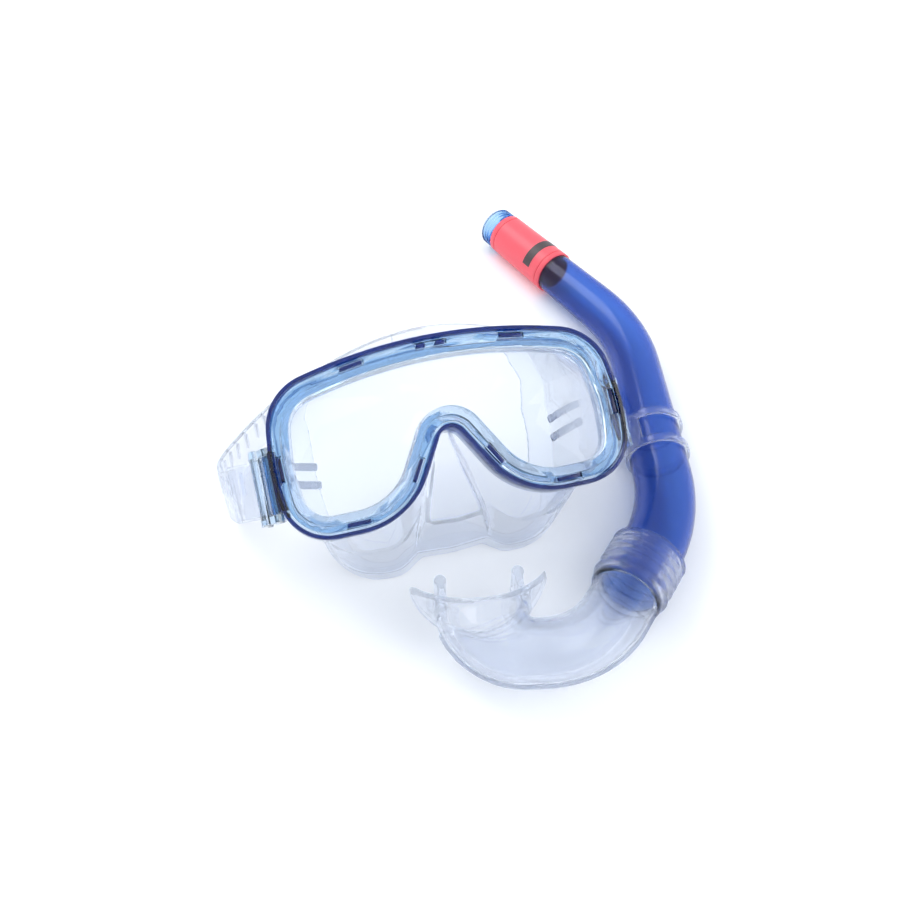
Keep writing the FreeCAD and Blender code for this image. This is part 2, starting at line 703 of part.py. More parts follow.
def elbow_bore(along):
    wide, high = elbow_size(along)
    return wide - dim("elbow_wall"), high - dim("elbow_wall")


def make_mouthpiece():
    collar_start = barrel_end - dim("collar_long")
    collar = tube_along(collar_start, barrel_end + 2, lambda along: (dim("collar_round"),) * 2)
    socket = tube_along(collar_start, barrel_end, lambda along: (barrel_round(along) + dim("fit_gap"),) * 2)
    elbow = tube_along(barrel_end, mouth_end, elbow_size)
    bore = tube_along(barrel_end, mouth_end, elbow_bore)
    mouth, out = line_point(mouth_at)
    across = Vector(-out.y, out.x, 0)
    upright = Vector(0, 0, 1)
    # lip shield: part of an upright cylinder, hollow towards the teeth, with rounded ends
    high = dim("flange_high")
    hub = mouth + out * (dim("flange_round") - 2.0)
    shield = Part.makeCylinder(dim("flange_round"), high, hub - upright * (high / 2), upright)
    core = Part.makeCylinder(dim("flange_round") - dim("flange_wall"), high + 8,
                             hub - upright * (high / 2 + 4), upright)
    ellipse = Part.Ellipse(mouth + across * (dim("flange_wide") / 2), mouth + upright * (high / 2), mouth)
    outline = Part.Face(Part.Wire([ellipse.toShape()]))
    outline.translate(out * -4)
    shield = shield.cut(core).common(outline.extrude(out * dim("flange_round")))
    shape = elbow.fuse(collar).cut(core).fuse(shield)
    shape = shape.cut(socket).cut(bore)
    # bite lugs, each with a bead along its free edge
    turned = Rotation(out, across, upright, "XYZ")
    lug_high = dim("lug_high")
    for sign in (-1, 1):
        root = mouth + out * 2.0 + across * (sign * dim("lug_spread") / 2)
        lug = Part.makeBox(dim("lug_long"), dim("lug_thick"), lug_high,
                           Vector(0, -dim("lug_thick") / 2, -lug_high / 2))
        lug.Placement = Placement(root, turned)
        end = root + out * dim("lug_long") - upright * (lug_high / 2 + 0.5)
        bead = Part.makeCylinder(dim("lug_thick") * 0.8, lug_high + 1, end, upright)
        shape = shape.fuse([lug, bead])
    feature("mouthpiece", shape, barrel_place)


# ---------------------------------------------------------------- build

make_main_frame()
make_retaining_ring()
make_lens()
make_skirt()
for side_name, side_sign in (("Right", 1), ("Left", -1)):
    make_buckle(side_name, side_sign)
    make_roller(side_name, side_sign)
    make_pin("buckle_pin_" + side_name.lower(), side_sign * dim("hinge_across"), dim("hinge_back"))
    make_pin("roller_pin_" + side_name.lower(), side_sign * dim("roller_across"), dim("roller_back"))
make_strap()
make_barrel()
make_tip()
make_band()
make_keeper()
make_mouthpiece()
doc.recompute()

# the origin is the bottom centre of the whole set
whole = FreeCAD.BoundBox()
for obj in pieces:
    whole.add(obj.Shape.optimalBoundingBox())
shift = Vector(-whole.Center.x, -whole.Center.y, -whole.ZMin)
for obj in pieces:
    obj.Placement = Placement(shift, Rotation()).multiply(obj.Placement)
doc.recompute()
print("set moved by %.4f %.4f %.4f, size %.1f %.1f %.1f" % (
    tuple(shift) + (whole.XLength, whole.YLength, whole.ZLength)))

for obj in doc.Objects:
    if "Invalid" in obj.State or "Error" in obj.State:
        raise RuntimeError(obj.Name + " failed: " + str(obj.State))
os.makedirs("parts", exist_ok=True)
for obj in pieces:
    if obj.Shape.isNull() or not obj.Shape.isValid():
        raise RuntimeError(obj.Label + " is not a valid shape")
    obj.Shape.exportStep("parts/%s.step" % obj.Label)
    print("%-20s %d solid(s) %9.0f mm3" % (obj.Label, len(obj.Shape.Solids), obj.Shape.Volume))
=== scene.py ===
import json
import math

import bpy
from mathutils import Matrix, Vector

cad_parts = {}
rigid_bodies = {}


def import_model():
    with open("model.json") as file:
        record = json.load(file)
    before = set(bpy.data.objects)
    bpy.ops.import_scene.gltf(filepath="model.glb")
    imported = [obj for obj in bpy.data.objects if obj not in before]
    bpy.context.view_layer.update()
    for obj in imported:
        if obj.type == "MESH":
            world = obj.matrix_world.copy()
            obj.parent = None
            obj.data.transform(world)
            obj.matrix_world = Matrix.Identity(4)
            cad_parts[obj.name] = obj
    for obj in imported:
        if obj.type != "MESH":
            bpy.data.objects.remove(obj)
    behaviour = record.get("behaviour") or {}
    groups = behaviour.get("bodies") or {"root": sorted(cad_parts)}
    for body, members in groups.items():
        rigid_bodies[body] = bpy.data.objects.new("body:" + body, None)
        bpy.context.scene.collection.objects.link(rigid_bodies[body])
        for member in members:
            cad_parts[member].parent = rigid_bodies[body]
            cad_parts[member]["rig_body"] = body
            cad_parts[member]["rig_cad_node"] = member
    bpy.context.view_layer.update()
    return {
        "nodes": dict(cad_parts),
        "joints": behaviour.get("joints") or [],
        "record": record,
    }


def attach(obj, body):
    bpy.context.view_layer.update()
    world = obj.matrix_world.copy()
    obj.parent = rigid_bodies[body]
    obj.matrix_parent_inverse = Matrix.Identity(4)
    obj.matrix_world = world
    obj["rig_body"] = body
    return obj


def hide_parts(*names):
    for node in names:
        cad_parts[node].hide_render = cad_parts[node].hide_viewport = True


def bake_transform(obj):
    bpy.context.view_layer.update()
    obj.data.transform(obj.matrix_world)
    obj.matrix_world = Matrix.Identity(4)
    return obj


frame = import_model()
nodes = frame["nodes"]
joints = {joint["name"]: joint for joint in frame["joints"]}
mounts = {mount["name"]: mount for mount in frame["record"]["mounts"]}
mm = 0.001
print("frame loaded,", len(nodes), "nodes")


# the mask's own axes: x across the face, y up the face, z out of the lens

maskSet = {"hingeBelow": 6 * mm, "hingeBehind": 21 * mm, "fromOrigin": Vector((-0.2, -38.8, 65.0)) * mm}


def axesMatrix(place, ahead, side, up):
    matrix = Matrix((ahead, side, up)).transposed().to_4x4()
    matrix.translation = place
    return matrix


def maskAxes():
    left, right = (Vector(joints[name]["pos_m"]) for name in ("left_buckle_swivel", "right_buckle_swivel"))
    across = (right - left).normalized()
    up = Vector(joints["right_buckle_swivel"]["axis"]).normalized()
    out = across.cross(up).normalized()
    place = (left + right) / 2 + up * maskSet["hingeBelow"] + out * maskSet["hingeBehind"]
    return axesMatrix(place, across, up, out)


maskMatrix = maskAxes()
tableOffset = maskMatrix.translation - maskSet["fromOrigin"]  # from the layout's own zero to the set's origin


def onMask(x, y, z):
    return maskMatrix @ (Vector((x, y, z)) * mm)


def onTable(x, y, z):
    return Vector((x, y, z)) * mm + tableOffset


# the snorkel's centre line, as runs of (straight mm, bend radius mm, bend degrees)

snorkelSet = {
    "tube": [(82, 0, 0), (0, 78, 33.6), (66, 0, 0), (0, 70, 35), (22, 0, 0)],
    "elbow": [(12, 0, 0), (0, 35, 58), (2.5, 0, 0), (0, 18.5, 82), (7, 0, 0)],
    "topRadius": 9.6, "taper": 0.0155, "wall": 1.5, "capMountAt": 5.0,
}
lineRuns = snorkelSet["tube"] + snorkelSet["elbow"]


def runLength(run):
    return run[0] + run[1] * math.radians(run[2])


tubeEnd = sum(runLength(run) for run in snorkelSet["tube"])
mouthAt = sum(runLength(run) for run in lineRuns[:-1])


def snorkelAxes():
    ahead = -Vector(mounts["snorkel_top"]["axis"])
    leaving = -Vector(joints["mouthpiece_turn"]["axis"])
    up = leaving.cross(ahead).normalized()
    place = Vector(mounts["snorkel_top"]["pos_m"]) - ahead * snorkelSet["capMountAt"] * mm
    return axesMatrix(place, ahead, up.cross(ahead), up)


snorkelMatrix = snorkelAxes()


def linePoint(along):
    # place, direction and left side of the centre line, in the snorkel's own axes and mm
    x = y = heading = 0.0
    for run in lineRuns:
        step = min(along, runLength(run))
        if run[0]:
            x += math.cos(heading) * step
            y += math.sin(heading) * step
        else:
            turned = step / run[1]
            x += (math.sin(heading) - math.sin(heading - turned)) * run[1]
            y += (math.cos(heading - turned) - math.cos(heading)) * run[1]
            heading -= turned
        along -= step
        if along <= 1e-9:
            break
    ahead = Vector((math.cos(heading), math.sin(heading), 0))
    return Vector((x, y, 0)) + ahead * along, ahead, Vector((-ahead.y, ahead.x, 0))


def stations(first, last, apart=4.0):
    count = max(1, round((last - first) / apart))
    return [first + (last - first) * i / count for i in range(count + 1)]


def tubeRadius(along):
    return snorkelSet["topRadius"] + snorkelSet["taper"] * along


def ringAt(along, radius, points=48, firstTurn=0.0, lastTurn=360.0):
    # points round the line: 0 degrees is its left side, 90 is up
    place, ahead, side = linePoint(along)
    closed = lastTurn - firstTurn >= 360
    ring = []
    for i in range(points):
        turn = math.radians(firstTurn + (lastTurn - firstTurn) * i / (points if closed else points - 1))
        spot = place + side * (math.cos(turn) * radius) + Vector((0, 0, math.sin(turn) * radius))
        ring.append(snorkelMatrix @ (spot * mm))
    return ring


# outline of the mask: corners of the right half as (across, up, radius), top first

outlineSet = {
    "half": [(0, 43.5, 205), (66.9, 26.8, 22), (70.5, -3.5, 60),
             (67.2, -33.2, 19), (21.6, -33.2, 33), (0, 4.6, 5)],
    "degreesPerPoint": 5.0,
}


def outlineAt(inset, z):
    half = outlineSet["half"]
    corners = half + [(-x, y, r) for x, y, r in reversed(half[1:-1])]
    spots = [Vector((x, y)) for x, y, r in corners]
    ring = []
    for i, corner in enumerate(corners):
        here = spots[i]
        back = (spots[i - 1] - here).normalized()
        ahead = (spots[(i + 1) % len(spots)] - here).normalized()
        halfAngle = back.angle(ahead) / 2
        middle = (back + ahead).normalized()
        center = here + middle * (corner[2] / math.sin(halfAngle))
        convex = back.x * ahead.y - back.y * ahead.x > 0
        radius = corner[2] - inset if convex else corner[2] + inset
        sweep = math.pi - 2 * halfAngle
        count = max(3, round(math.degrees(sweep) / outlineSet["degreesPerPoint"]))
        first = -middle
        for step in range(count + 1):
            turn = sweep * (step / count - 0.5) * (-1 if convex else 1)
            spoke = Vector((first.x * math.cos(turn) - first.y * math.sin(turn),
                            first.x * math.sin(turn) + first.y * math.cos(turn)))
            ring.append(onMask(*(center + spoke * radius), z))
    return ring


# modelling helpers

def pick(*objects):
    bpy.ops.object.select_all(action="DESELECT")
    for item in objects:
        item.select_set(True)
    bpy.context.view_layer.objects.active = objects[0]


def editAll(*steps):
    bpy.ops.object.mode_set(mode="EDIT")
    bpy.ops.mesh.select_all(action="SELECT")
    for step in steps:
        step()
    bpy.ops.object.mode_set(mode="OBJECT")


def mergeAndTurnOut():
    bpy.ops.mesh.remove_doubles(threshold=0.002 * mm)
    bpy.ops.mesh.normals_make_consistent(inside=False)


def closeEnds():
    bpy.ops.mesh.select_all(action="DESELECT")
    bpy.ops.mesh.select_non_manifold(extend=False, use_wire=False, use_multi_face=False,
                                     use_non_contiguous=False, use_verts=False)
    bpy.ops.mesh.fill()
    bpy.ops.mesh.select_all(action="SELECT")
    bpy.ops.mesh.normals_make_consistent(inside=False)


def wrapGrid(name, rows, closedRound=True, closedAlong=False):
    # a grid laid over rows of points, its edges sewn where it closes on itself
    across = len(rows[0])
    along = len(rows)
    bpy.ops.object.select_all(action="DESELECT")
    bpy.ops.mesh.primitive_grid_add(x_subdivisions=across if closedRound else across - 1,
                                    y_subdivisions=along if closedAlong else along - 1,
                                    size=1, location=(0, 0, 0))
    piece = bpy.context.object
    piece.name = name
    piece.data.name = name
    columns = across + 1 if closedRound else across
    for i, vertex in enumerate(piece.data.vertices):
        row, column = divmod(i, columns)
        vertex.co = rows[row % along][column % across]
    editAll(mergeAndTurnOut)
    return piece


def finishWith(piece, kind, **settings):
    pick(piece)
    modifier = piece.modifiers.new(kind.title(), kind)
    for name, value in settings.items():
        setattr(modifier, name, value)
    bpy.ops.object.modifier_apply(modifier=modifier.name)


def joinInto(piece, others):
    pick(piece, *others)
    bpy.ops.object.join()
    return piece


def smoothByAngle(piece, degrees):
    pick(piece)
    bpy.ops.object.shade_smooth_by_angle(angle=math.radians(degrees))


def cadCopy(name, node, bevel=0.0, sharpDegrees=35):
    # a copy of a CAD node with its triangles merged, and its sharp edges rounded as a mould leaves them
    piece = nodes[node].copy()
    piece.data = nodes[node].data.copy()
    piece.parent = None
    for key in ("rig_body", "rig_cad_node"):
        del piece[key]
    piece.name = name
    piece.data.name = name
    bpy.context.scene.collection.objects.link(piece)
    pick(piece)
    bpy.ops.mesh.customdata_custom_splitnormals_clear()
    editAll(lambda: bpy.ops.mesh.remove_doubles(threshold=0.002 * mm),
            lambda: bpy.ops.mesh.dissolve_limited(angle_limit=math.radians(0.5)))
    if bevel:
        finishWith(piece, "BEVEL", width=bevel * mm, segments=2, limit_method="ANGLE",
                   angle_limit=math.radians(sharpDegrees), use_clamp_overlap=True, harden_normals=False)
    smoothByAngle(piece, sharpDegrees)
    return piece


def asOneMoulding(piece, voxel, rounds):
    # fuses overlapping parts into one skin and softens it, as in a soft moulding
    finishWith(piece, "REMESH", mode="VOXEL", voxel_size=voxel * mm, use_smooth_shade=True)
    finishWith(piece, "SMOOTH", factor=0.5, iterations=rounds)


def settle(piece, body, slotName, material, *replaced):
    piece.data.materials.clear()
    piece.data.materials.append(material)
    if replaced:
        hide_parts(*replaced)
    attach(piece, body)
    return piece


# colours and materials

def linear(hexCode):
    channels = [int(hexCode[i:i + 2], 16) / 255 for i in (1, 3, 5)]
    return [c / 12.92 if c <= 0.04045 else ((c + 0.055) / 1.055) ** 2.4 for c in channels] + [1.0]


def addNode(material, kind, settings=None, inputs=None, links=None):
    node = material.node_tree.nodes.new(kind)
    for name, value in (settings or {}).items():
        setattr(node, name, value)
    for name, value in (inputs or {}).items():
        node.inputs[name].default_value = value
    for name, source in (links or {}).items():
        material.node_tree.links.new(source, node.inputs[name])
    return node


def newMaterial(name):
    material = bpy.data.materials.new(name)
    material.use_nodes = True
    material.node_tree.nodes.clear()
    return material


def surfaceGrain(material, look):
    # slow ripples of the moulded skin, and a fine polish that is never quite even
    place = addNode(material, "ShaderNodeTexCoord").outputs["Object"]
    ripple = addNode(material, "ShaderNodeTexNoise",
                     inputs={"Scale": 1 / (look["rippleMm"] * mm), "Detail": 3.0},
                     links={"Vector": place}).outputs["Fac"]
    bump = addNode(material, "ShaderNodeBump",
                   inputs={"Strength": look["rippleStrength"], "Distance": 0.2 * mm},
                   links={"Height": ripple}).outputs["Normal"]
    rough = addNode(material, "ShaderNodeMapRange", inputs={"To Min": look["roughness"] * 0.6,
                    "To Max": look["roughness"] * 1.4}, links={"Value": ripple}).outputs["Result"]
    return bump, rough


def clearPlastic(name, look):
    # light goes in, is coloured by the depth that it crosses, and comes out
    material = newMaterial(name)
    bump, rough = surfaceGrain(material, look)
    shader = addNode(material, "ShaderNodeBsdfPrincipled",
                     inputs={"Base Color": linear(look["surface"]), "IOR": look["ior"],
                             "Transmission Weight": 1.0},
                     links={"Normal": bump, "Roughness": rough}).outputs["BSDF"]
    if look.get("thinShare"):
        # part of the light goes straight through, as it does in a thin clear wall
        straight = addNode(material, "ShaderNodeBsdfTransparent",
                           inputs={"Color": linear(look["thinColour"])}).outputs["BSDF"]
        mixer = addNode(material, "ShaderNodeMixShader", inputs={"Fac": look["thinShare"]})
        material.node_tree.links.new(shader, mixer.inputs[1])
        material.node_tree.links.new(straight, mixer.inputs[2])
        shader = mixer.outputs["Shader"]
    depth = addNode(material, "ShaderNodeVolumeAbsorption",
                    inputs={"Color": linear(look["depthColour"]),
                            "Density": look["density"]}).outputs["Volume"]
    addNode(material, "ShaderNodeOutputMaterial", links={"Surface": shader, "Volume": depth})
    return material


looks = {
    # blue translucent polycarbonate, gloss moulded: pale where thin, navy along its depth
    "bluePolycarbonate": {"surface": "#FFFFFF", "depthColour": "#1FB4E2", "density": 560.0, "ior": 1.5,
                          "roughness": 0.03, "rippleMm": 9.0, "rippleStrength": 0.04},
    # blue translucent PVC tube, extruded and bent warm: a deep even tint with soft highlights
    "bluePvcTube": {"surface": "#FFFFFF", "depthColour": "#0FA6EC", "density": 840.0, "ior": 1.36,
                    "roughness": 0.16, "rippleMm": 16.0, "rippleStrength": 0.04},
    # light blue polypropylene tip, moulded: bright and slightly milky
    "lightBluePolypropylene": {"surface": "#F2FAFF", "depthColour": "#6EC3F0", "density": 300.0, "ior": 1.4,
                               "roughness": 0.12, "rippleMm": 6.0, "rippleStrength": 0.05},
    # clear polycarbonate, gloss moulded: crisp edges with a cool tint
    "clearPolycarbonate": {"surface": "#F8FCFF", "depthColour": "#A5D5F2", "density": 70.0, "ior": 1.5,
                           "roughness": 0.02, "rippleMm": 8.0, "rippleStrength": 0.03},
    # clear flat lens, cut from polished sheet: almost invisible except at its edge
    "polishedLens": {"surface": "#FDFEFF", "depthColour": "#A0D2EB", "density": 30.0, "ior": 1.46,
                     "roughness": 0.004, "rippleMm": 60.0, "rippleStrength": 0.004},
    # soft clear PVC, moulded: waxy and faintly blue, brighter where it is thin
    "softClearPvc": {"surface": "#FCFDFF", "depthColour": "#B4CDF0", "density": 10.0, "ior": 1.4,
                     "roughness": 0.03, "rippleMm": 9.0, "rippleStrength": 0.04, "thinShare": 0.35,
                     "thinColour": "#F8FAFE"},
    # the same PVC where it is moulded thick for grip: painted shade greys it through its depth, standing in
    # for the darkening that refraction gives the thick ribs, and it is duller on its skin
    "softPvcPaintedShade": {"surface": "#E4E8F0", "depthColour": "#8C9AB4", "density": 330.0, "ior": 1.4,
                    "roughness": 0.25, "rippleMm": 2.0, "rippleStrength": 0.2},
}
materials = {name: clearPlastic(name, look) for name, look in looks.items()}


def coralVinyl():
    # fluorescent coral vinyl sleeve, calendered: a satin skin that hides the tube, with a painted glow (a
    # little emission) standing in for its fluorescence and for light inside the band
    look = {"colour": "#FF6E7D", "paintedGlow": 0.1, "roughness": 0.3, "grainMm": 0.8,
            "through": "#FFA0AA", "throughShare": 0.25}
    material = newMaterial("coralVinyl")
    place = addNode(material, "ShaderNodeTexCoord").outputs["Object"]
    grain = addNode(material, "ShaderNodeTexNoise", inputs={"Scale": 1 / (look["grainMm"] * mm)},
                    links={"Vector": place}).outputs["Fac"]
    tone = addNode(material, "ShaderNodeMix", settings={"data_type": "RGBA"}, inputs={"Factor": 0.5},
                   links={"Factor": grain})
    tone.inputs["A"].default_value = linear("#FF6675")
    tone.inputs["B"].default_value = linear("#FF7C88")
    bump = addNode(material, "ShaderNodeBump", inputs={"Strength": 0.05, "Distance": 0.05 * mm},
                   links={"Height": grain}).outputs["Normal"]
    # painted glow: the emission lights the coral skin though it is no lamp
    shader = addNode(material, "ShaderNodeBsdfPrincipled",
                     inputs={"Roughness": look["roughness"], "Transmission Weight": 0.15, "IOR": 1.45,
                             "Emission Color": linear(look["colour"]), "Emission Strength": look["paintedGlow"]},
                     links={"Base Color": tone.outputs["Result"], "Normal": bump}).outputs["BSDF"]
    through = addNode(material, "ShaderNodeBsdfTranslucent",
                      inputs={"Color": linear(look["through"])}).outputs["BSDF"]
    mixer = addNode(material, "ShaderNodeMixShader", inputs={"Fac": look["throughShare"]})
    material.node_tree.links.new(shader, mixer.inputs[1])
    material.node_tree.links.new(through, mixer.inputs[2])
    addNode(material, "ShaderNodeOutputMaterial", links={"Surface": mixer.outputs["Shader"]})
    return material


def inkAndPaintedShade(name, dark, light):
    # matt colour on vinyl, with a faint unevenness at the mesh of the screen: screen ink for the printed
    # stripe, and painted shade for the lines at the foot of the grooves
    material = newMaterial(name)
    place = addNode(material, "ShaderNodeTexCoord").outputs["Object"]
    grain = addNode(material, "ShaderNodeTexNoise", inputs={"Scale": 1 / (0.6 * mm)}, links={"Vector": place})
    tone = addNode(material, "ShaderNodeMix", settings={"data_type": "RGBA"},
                   links={"Factor": grain.outputs["Fac"]})
    tone.inputs["A"].default_value = linear(dark)
    tone.inputs["B"].default_value = linear(light)
    shader = addNode(material, "ShaderNodeBsdfPrincipled", inputs={"Roughness": 0.45},
                     links={"Base Color": tone.outputs["Result"]}).outputs["BSDF"]
    addNode(material, "ShaderNodeOutputMaterial", links={"Surface": shader})
    return material


def drawnSteel():
    # stainless wire, drawn: bright, with fine marks round the pin
    material = newMaterial("drawnStainless")
    place = addNode(material, "ShaderNodeTexCoord").outputs["Object"]
    marks = addNode(material, "ShaderNodeTexNoise", inputs={"Scale": 1 / (0.5 * mm)}, links={"Vector": place})
    rough = addNode(material, "ShaderNodeMapRange", inputs={"To Min": 0.18, "To Max": 0.35},
                    links={"Value": marks.outputs["Fac"]}).outputs["Result"]
    shader = addNode(material, "ShaderNodeBsdfPrincipled",
                     inputs={"Base Color": linear("#C8CACC"), "Metallic": 1.0},
                     links={"Roughness": rough}).outputs["BSDF"]
    addNode(material, "ShaderNodeOutputMaterial", links={"Surface": shader})
    return material


materials["coralVinyl"] = coralVinyl()
materials["blackScreenInk"] = inkAndPaintedShade("blackScreenInk", "#3A3033", "#54494C")
# painted shade: a darker red line laid at the foot of each groove on the band
materials["redShadowLine"] = inkAndPaintedShade("redShadowLine", "#D8404E", "#E25460")  # the shaded foot of a groove
materials["drawnStainless"] = drawnSteel()
print("materials made")

# mask: frame, ring, lens, buckles, rollers and pins

ribSet = {"outer": 3.7, "inner": 4.3, "foot": -11.7, "top": -9.2, "soft": 0.15}
hardSet = {"frameBevel": 0.35, "ringBevel": 0.35, "lensBevel": 0.25, "buckleBevel": 0.45, "rollerBevel": 0.25}


def makeHardPieces():
    blue = materials["bluePolycarbonate"]
    clear = materials["clearPolycarbonate"]
    settle(cadCopy("frame_shell", "main_frame", hardSet["frameBevel"]),
           "mask", "frame_blue", blue, "main_frame")
    settle(cadCopy("clip_ring", "retaining_ring", hardSet["ringBevel"]),
           "mask", "clear_hard", clear, "retaining_ring")
    settle(cadCopy("lens_pane", "lens", hardSet["lensBevel"]),
           "mask", "lens", materials["polishedLens"], "lens")
    for side in ("left", "right"):
        settle(cadCopy("buckle_frame_" + side, "buckle_" + side, hardSet["buckleBevel"]),
               side + "_buckle", "clear_hard", clear, "buckle_" + side)
        settle(cadCopy("roller_sleeve_" + side, "strap_roller_" + side, hardSet["rollerBevel"]),
               side + "_roller", "clear_hard", clear, "strap_roller_" + side)
        for pin, body in (("buckle_pin_", "mask"), ("roller_pin_", side + "_buckle")):
            settle(cadCopy(pin + "turned_" + side, pin + side, hardSet["rollerBevel"]), body, "pin_steel",
                   materials["drawnStainless"], pin + side)


def makeTabRib():
    # a thin rib on the flange, which joins the snap tabs all the way round
    soft = ribSet["soft"]
    spots = [(ribSet["outer"], ribSet["foot"]), (ribSet["outer"], ribSet["top"] - soft),
             (ribSet["outer"] + soft, ribSet["top"]), (ribSet["inner"] - soft, ribSet["top"]),
             (ribSet["inner"], ribSet["top"] - soft), (ribSet["inner"], ribSet["foot"])]
    rib = wrapGrid("frame_tab_rib", [outlineAt(inset, z) for inset, z in spots], closedAlong=True)
    smoothByAngle(rib, 40)
    settle(rib, "mask", "frame_blue", materials["bluePolycarbonate"])


makeHardPieces()
makeTabRib()
print("hard pieces made")

# skirt

skirtSet = {"voxel": 0.55, "rounds": 6, "keepShare": 0.45, "grip": (12.6, 2.7, 1.8), "gripAt": (54.6, -40.0),
            "gripUps": (2.9, -3.6), "gripTilt": 11.8}


def roundedBar(name, size, matrix, bevel):
    bpy.ops.object.select_all(action="DESELECT")
    bpy.ops.mesh.primitive_cube_add(size=1, location=(0, 0, 0))
    bar = bpy.context.object
    bar.name = name
    bar.scale = Vector(size) * mm
    bpy.ops.object.transform_apply(location=False, rotation=False, scale=True)
    finishWith(bar, "BEVEL", width=bevel * mm, segments=3, limit_method="NONE")
    bar.data.transform(matrix)
    return bar


def makeSkirt():
    skirt = cadCopy("skirt_moulding", "face_skirt")
    asOneMoulding(skirt, skirtSet["voxel"], skirtSet["rounds"])
    finishWith(skirt, "DECIMATE", ratio=skirtSet["keepShare"])
    settle(skirt, "mask", "clear_soft", materials["softClearPvc"], "face_skirt")


def makeTempleGrips():
    # two short thick ribs at each temple, leaning towards the nose
    across, depth = skirtSet["gripAt"]
    for side, sign in (("left", -1), ("right", 1)):
        bars = []
        for up in skirtSet["gripUps"]:
            turn = Matrix.Rotation(math.radians(sign * skirtSet["gripTilt"]), 4, "Z")
            place = maskMatrix @ Matrix.Translation(Vector((sign * across, up, depth)) * mm) @ turn
            bars.append(roundedBar("grip", skirtSet["grip"], place, 0.7))
        grips = joinInto(bars[0], bars[1:])
        grips.name = "temple_grips_" + side
        smoothByAngle(grips, 40)
        # painted shade: the grey copy of the PVC stands in for the darkening that refraction gives these
        # thick ribs
        settle(grips, "mask", "clear_soft", materials["softPvcPaintedShade"])


makeTempleGrips()
makeSkirt()
print("skirt made")

# barrel, tip and band

barrelSet = {"start": 8.0, "edge": 0.35, "points": 64}
tipSet = {"head": 7.95, "spigot": 17.0, "lip": 0.5, "wall": 1.2, "gap": 0.05, "ridges": (2.5, 4.5, 6.5),
          "ridgeDeep": 0.75, "ridgeHalf": 0.75}
bandSet = {"start": 9.0, "long": 41.0, "wall": 0.8, "gap": 0.05, "grooves": (3.2, 37.9), "grooveHalf": 0.5,
           "grooveDeep": 0.4, "edge": 0.25, "shadeLineHalf": 0.3, "stripe": (27.6, 32.6),
           "stripeTurns": (-12.0, 163.0), "inkThick": 0.08}


def makeBarrel():
    outer = stations(barrelSet["start"], tubeEnd)
    edge = barrelSet["edge"]
    wall = snorkelSet["wall"]
    skin = [outer[0] + edge, *outer[1:-1], outer[-1] - edge]
    rows = [(outer[0], -edge), *[(s, 0) for s in skin], (outer[-1], -edge)]
    rows += [(s, -wall + (edge if s in (outer[0], outer[-1]) else 0)) for s in reversed(outer)]
    rings = [ringAt(s, tubeRadius(s) + more, barrelSet["points"]) for s, more in rows]
    barrel = wrapGrid("barrel_tube", rings, closedAlong=True)
    smoothByAngle(barrel, 50)
    settle(barrel, "snorkel", "tube_blue", materials["bluePvcTube"], "barrel")


def makeTip():
    head = tipSet["head"]
    rim = tubeRadius(head) + tipSet["lip"]
    spigot = tubeRadius(head) - snorkelSet["wall"] - tipSet["gap"]
    bore = spigot - tipSet["wall"]
    profile = [(0.0, bore + 0.6), (0.0, bore + 1.2), (0.3, rim - 0.9), (0.8, rim - 0.5), (1.5, rim - 0.1)]
    for ridge in tipSet["ridges"]:
        half = tipSet["ridgeHalf"]
        deep = tipSet["ridgeDeep"]
        profile += [(ridge - half, rim), (ridge - half * 0.5, rim - deep * 0.8), (ridge, rim - deep),
                    (ridge + half * 0.5, rim - deep * 0.8), (ridge + half, rim)]
    foot = head + tipSet["spigot"]
    profile += [(head - 0.2, rim), (head, rim - 0.2), (head, spigot), (foot - 0.4, spigot),
                (foot, spigot - 0.4), (foot, bore), (1.0, bore), (0.4, bore + 0.2)]
    tip = wrapGrid("tip_ring", [ringAt(s, r, barrelSet["points"]) for s, r in profile], closedAlong=True)
    smoothByAngle(tip, 50)
    settle(tip, "snorkel", "tip_blue", materials["lightBluePolypropylene"], "barrel_tip")


def makeBand():
    start = bandSet["start"]
    end = start + bandSet["long"]
    inner = bandSet["gap"]
    outer = inner + bandSet["wall"]
    edge = bandSet["edge"]
    profile = [(start, outer - edge), (start + edge, outer)]
    for groove in bandSet["grooves"]:
        at = start + groove
        half = bandSet["grooveHalf"]
        profile += [(at - half, outer), (at - half * 0.4, outer - bandSet["grooveDeep"]),
                    (at + half * 0.4, outer - bandSet["grooveDeep"]), (at + half, outer)]
    profile += [(end - edge, outer), (end, outer - edge), (end, inner), (start, inner)]
    rings = [ringAt(s, tubeRadius(s) + more, barrelSet["points"]) for s, more in profile]
    band = wrapGrid("band_sleeve", rings, closedAlong=True)
    smoothByAngle(band, 50)
    settle(band, "snorkel", "band_red", materials["coralVinyl"], "visibility_band")
    inkAndShadeRing("band_stripe", bandSet["stripe"], outer, bandSet["stripeTurns"], "blackScreenInk")
    # painted shade: darker red lines along the foot of each groove
    for i, groove in enumerate(bandSet["grooves"]):
        span = (groove - bandSet["shadeLineHalf"], groove + bandSet["shadeLineHalf"])
        inkAndShadeRing("band_groove_shade_%d" % i, span, outer - bandSet["grooveDeep"], (0.0, 360.0), "redShadowLine")


def inkAndShadeRing(name, span, lift, turns, inkAndShade):
    start = bandSet["start"]
    closed = turns[1] - turns[0] >= 360
    first, last = span
    thick = bandSet["inkThick"]
    rows = [ringAt(start + s, tubeRadius(start + s) + lift + 0.01 + more, 72 if closed else 40, *turns)
            for s, more in ((first, 0), (first, thick), (last, thick), (last, 0))]
    stripe = wrapGrid(name, rows, closedRound=closed, closedAlong=True)
    if not closed:
        editAll(closeEnds)
    smoothByAngle(stripe, 40)
    settle(stripe, "snorkel", "band_red", materials[inkAndShade])


makeBarrel()
makeTip()
makeBand()
print("snorkel tube made")

# keeper

